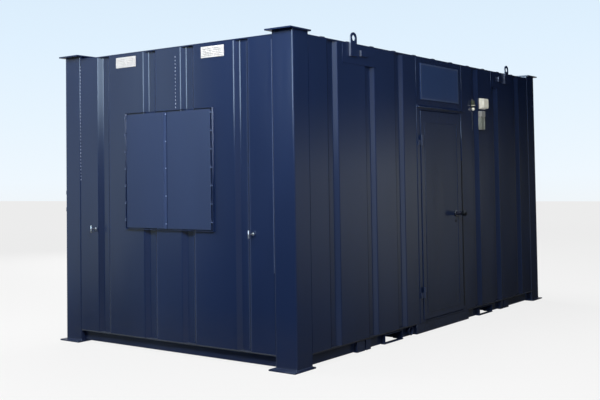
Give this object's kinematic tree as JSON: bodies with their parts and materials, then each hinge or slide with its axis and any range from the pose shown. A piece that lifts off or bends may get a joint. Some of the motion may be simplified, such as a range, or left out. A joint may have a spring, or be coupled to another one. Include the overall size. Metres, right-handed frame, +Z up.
{
  "type": "portable site cabin",
  "caption": "Steel site cabin with ribbed walls, an outward door, a window behind hinged shutters, lifting eyes, corner posts and fork pockets",
  "frame": {"origin": "centre of the cabin's plan on the ground under the foot plates", "axes": "+X along the length away from the shuttered window end, -Y out of the door wall, +Z up"},
  "size_m": [4.998, 2.8475, 2.7174],
  "materials": {
    "navy_paint": "gloss",
    "galvanised": "satin",
    "black_plastic": "gloss",
    "cream_plastic": "satin",
    "grey_plastic": "matt",
    "white_plastic": "matt",
    "window_plastic": "satin",
    "glazing": "polished",
    "ply_deck": "satin",
    "lining_board": "matt"
  },
  "bodies": {
    "cabin": {"blind_end_wall": "navy_paint", "canopy": "navy_paint", "cap_plates": "navy_paint", "ceiling": "lining_board", "corner_posts": "navy_paint", "cross_bearers": "navy_paint", "door_apron": "navy_paint", "door_frame": "navy_paint", "doublers": "navy_paint", "end_rails": "navy_paint", "floor_deck": "ply_deck", "foot_plates": "navy_paint", "fork_pockets": "navy_paint", "front_wall_head": "navy_paint", "front_wall_left": "navy_paint", "front_wall_right": "navy_paint", "hinge_pins": "navy_paint", "keeper_blocks": "navy_paint", "lamp": "cream_plastic", "lifting_eyes": "navy_paint", "pocket_straps": "navy_paint", "post_lugs": "navy_paint", "rear_wall": "navy_paint", "roof": "navy_paint", "sensor": "cream_plastic", "shutter_catches": "galvanised", "shutter_frame": "navy_paint", "shutter_hinges": "navy_paint", "side_rails": "navy_paint", "sign_panel": "navy_paint", "socket_box": "grey_plastic", "wall_vents": "white_plastic", "window_frame": "window_plastic", "window_glass": "glazing", "window_wall_left": "navy_paint", "window_wall_over": "navy_paint", "window_wall_right": "navy_paint", "window_wall_under": "navy_paint"},
    "door": {"door_leaf": "navy_paint", "door_overlay": "navy_paint", "hinge_knuckles": "navy_paint", "lock_rose": "black_plastic"},
    "knob": {"knob": "black_plastic"},
    "shutter_right": {"shutter_leaf_right": "navy_paint"},
    "shutter_left": {"shutter_leaf_left": "navy_paint"}
  },
  "joints": [
    {"name": "door_hinge", "type": "hinge", "parent": "cabin", "child": "door", "pos_m": [-0.4215, -1.3645, 1.11], "axis": [0, 0, -1], "range_deg": [0, 110]},
    {"name": "knob_turn", "type": "hinge", "parent": "door", "child": "knob", "pos_m": [0.27, -1.3855, 1.11], "axis": [0, 1, 0], "range_deg": [-60, 60], "stiffness_Nm_per_rad": 0.5},
    {"name": "right_shutter_hinge", "type": "hinge", "parent": "cabin", "child": "shutter_right", "pos_m": [-2.4595, -0.50575, 1.572], "axis": [0, 0, 1], "range_deg": [0, 170]},
    {"name": "left_shutter_hinge", "type": "hinge", "parent": "cabin", "child": "shutter_left", "pos_m": [-2.4595, 0.50575, 1.572], "axis": [0, 0, -1], "range_deg": [0, 170]}
  ]
}
